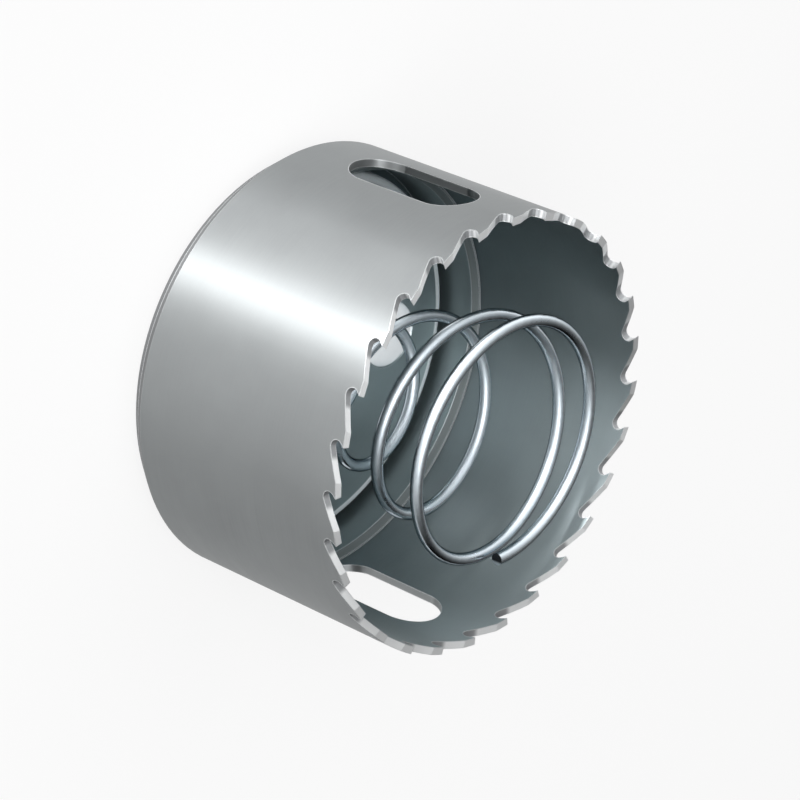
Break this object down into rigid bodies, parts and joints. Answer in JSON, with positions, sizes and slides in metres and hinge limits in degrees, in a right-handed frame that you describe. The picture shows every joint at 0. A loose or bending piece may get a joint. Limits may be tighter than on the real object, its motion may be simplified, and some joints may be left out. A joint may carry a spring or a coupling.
{
  "type": "hole saw",
  "caption": "Hole saw cup with a toothed steel band, long plug slots, a bored back plate and a conical ejector spring that stands out past the teeth.",
  "frame": {"origin": "centre of the back face, where the saw's axis meets the plane it stands on", "axes": "+Z along the saw's axis from the back plate to the teeth, +X through the middle of one plug slot"},
  "size_m": [0.068, 0.068, 0.0457],
  "materials": {
    "band_steel": "satin, fine grain round the band",
    "plate_steel": "satin, darker than the band",
    "spring_wire": "bright drawn wire"
  },
  "bodies": {
    "root": {"toothed_band": "band_steel", "back_plate": "plate_steel", "ejector_spring": "spring_wire"}
  },
  "joints": []
}
